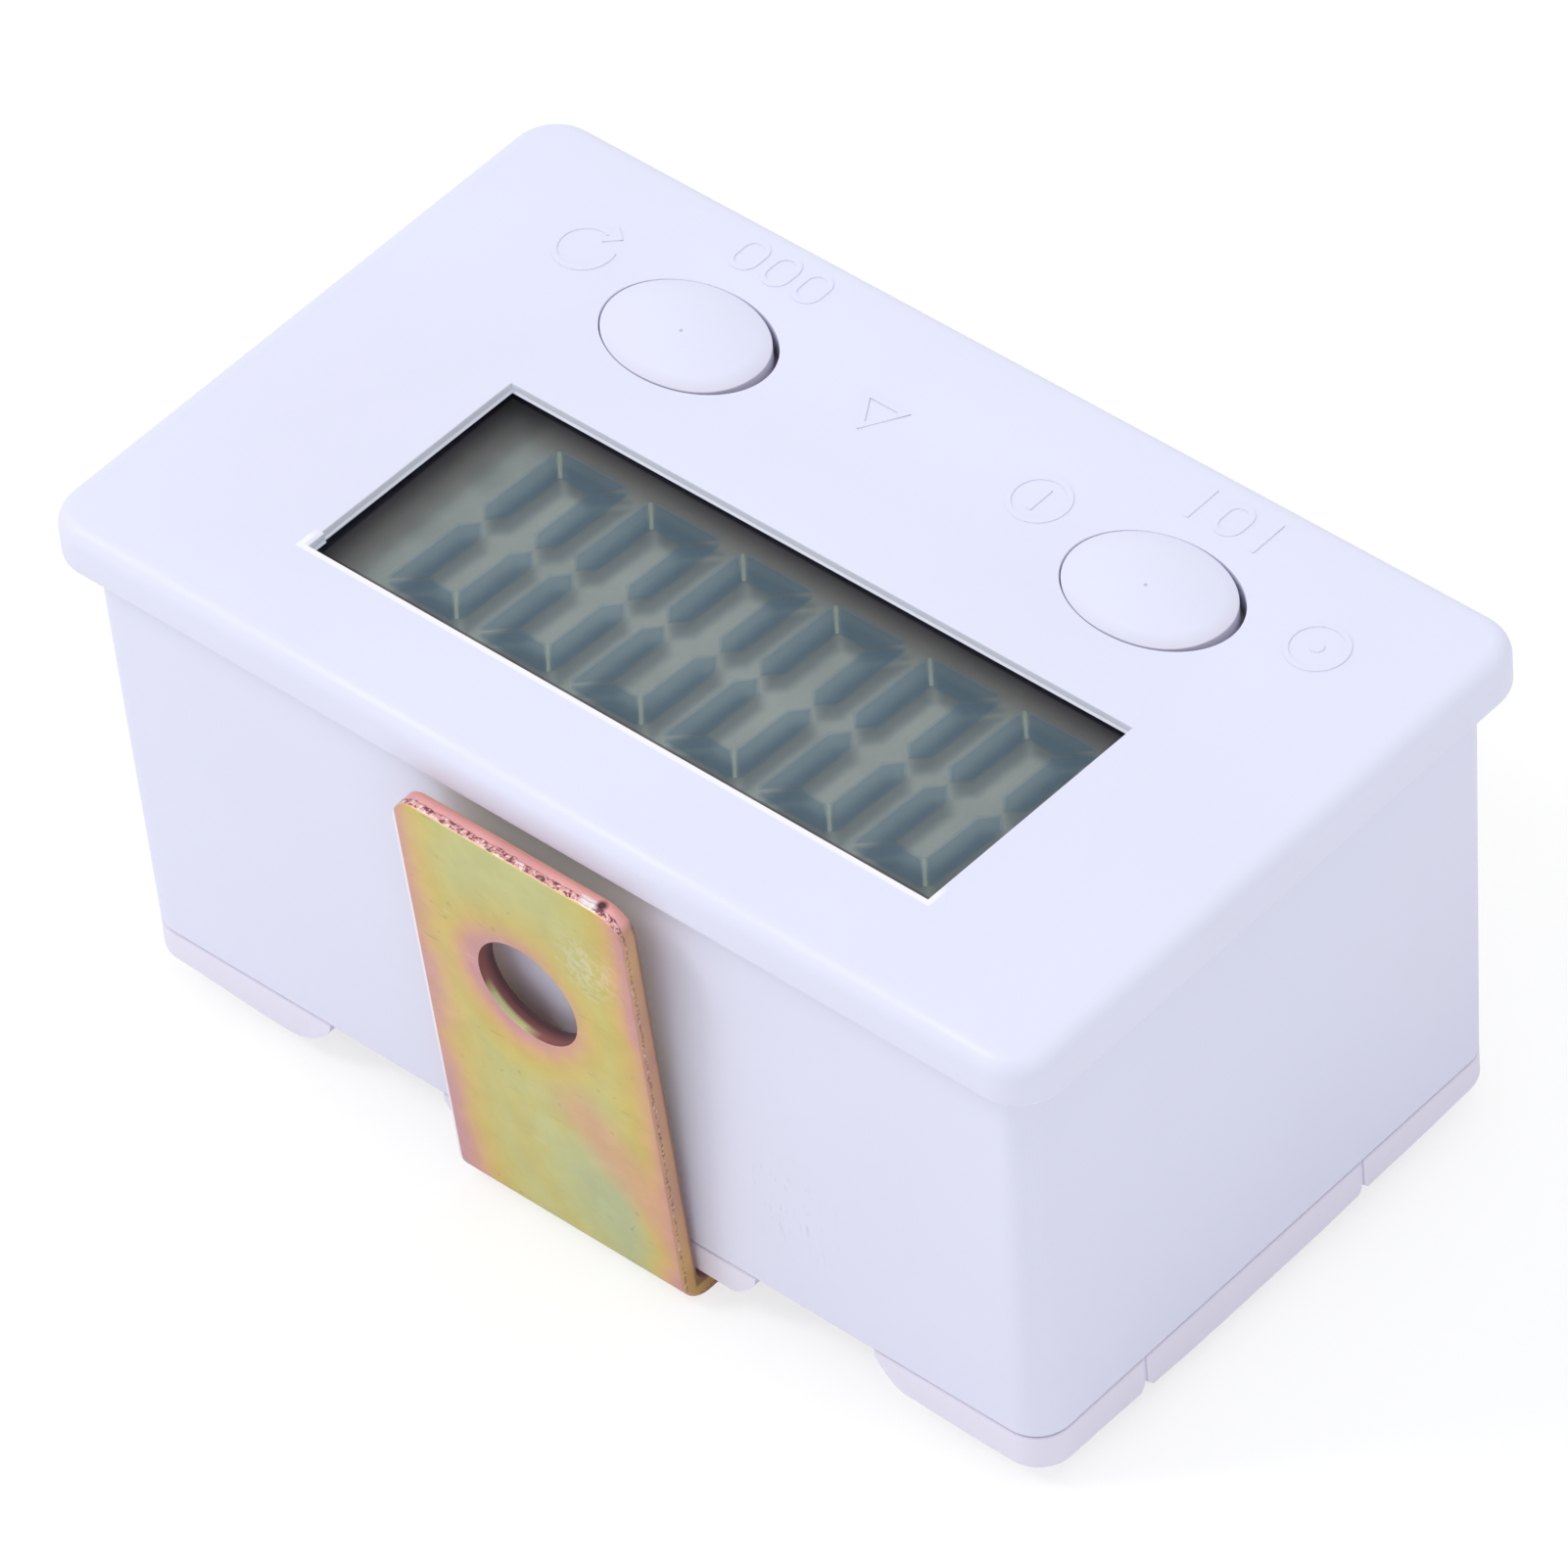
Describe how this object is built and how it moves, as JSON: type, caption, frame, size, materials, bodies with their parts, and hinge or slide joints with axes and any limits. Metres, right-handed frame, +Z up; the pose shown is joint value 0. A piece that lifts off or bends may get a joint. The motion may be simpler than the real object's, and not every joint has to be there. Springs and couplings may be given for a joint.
{
  "type": "digital tally counter",
  "caption": "Panel-mount electronic tally counter: white moulded case with a flange, an LCD window, two oval push buttons and a folded zinc-plated steel mounting strap.",
  "frame": {"origin": "middle of the underside of the strap's web, the surface that the counter stands on, under the middle of the case", "axes": "+Z up, out of the display face; +X along the long side, towards the left end of someone who reads the display; +Y from the display to the buttons, towards the reader"},
  "size_m": [0.06, 0.0385, 0.0306],
  "materials": {
    "white_plastic": "satin moulded white",
    "glass": "clear glass with a grey-green rear film",
    "black_plastic": "moulded black",
    "rubber": "striped conductive rubber",
    "board": "green solder mask",
    "yellow_zinc": "yellow chromated zinc plate",
    "steel": "bright",
    "brass": "plain",
    "battery_wrap": "glossy sleeve"
  },
  "bodies": {
    "case": {"case_shell": "white_plastic", "lcd_panel": "glass", "display_holder": "black_plastic", "zebra_strip_near": "rubber", "zebra_strip_far": "rubber", "main_board": "board", "board_screw_left": "steel", "board_screw_middle": "steel", "board_screw_right": "steel", "power_switch_base": "black_plastic", "reset_switch_base": "black_plastic", "controller_blob": "black_plastic", "capacitor": "battery_wrap", "crystal": "steel", "battery_tray": "black_plastic", "battery_cell": "battery_wrap", "battery_plus_contact": "steel", "battery_minus_contact": "steel", "input_jack_body": "black_plastic", "input_jack_sleeve": "steel", "input_jack_contact": "brass"},
    "power_key": {"power_button": "white_plastic", "power_plunger": "black_plastic"},
    "reset_key": {"reset_button": "white_plastic", "reset_plunger": "black_plastic"},
    "cover": {"rear_cover": "white_plastic", "mounting_bracket": "yellow_zinc", "strap_screw_near": "steel", "strap_screw_far": "steel", "threaded_insert_near": "brass", "threaded_insert_far": "brass"}
  },
  "joints": [
    {"name": "power_press", "type": "slide", "parent": "case", "child": "power_key", "axis": [0, 0, -1], "range_m": [0, 0.0005], "stiffness_N_per_m": 3000},
    {"name": "reset_press", "type": "slide", "parent": "case", "child": "reset_key", "axis": [0, 0, -1], "range_m": [0, 0.0005], "stiffness_N_per_m": 3000},
    {"name": "cover_release", "type": "slide", "parent": "case", "child": "cover", "axis": [0, 0, -1], "range_m": [0, 0.03]}
  ]
}
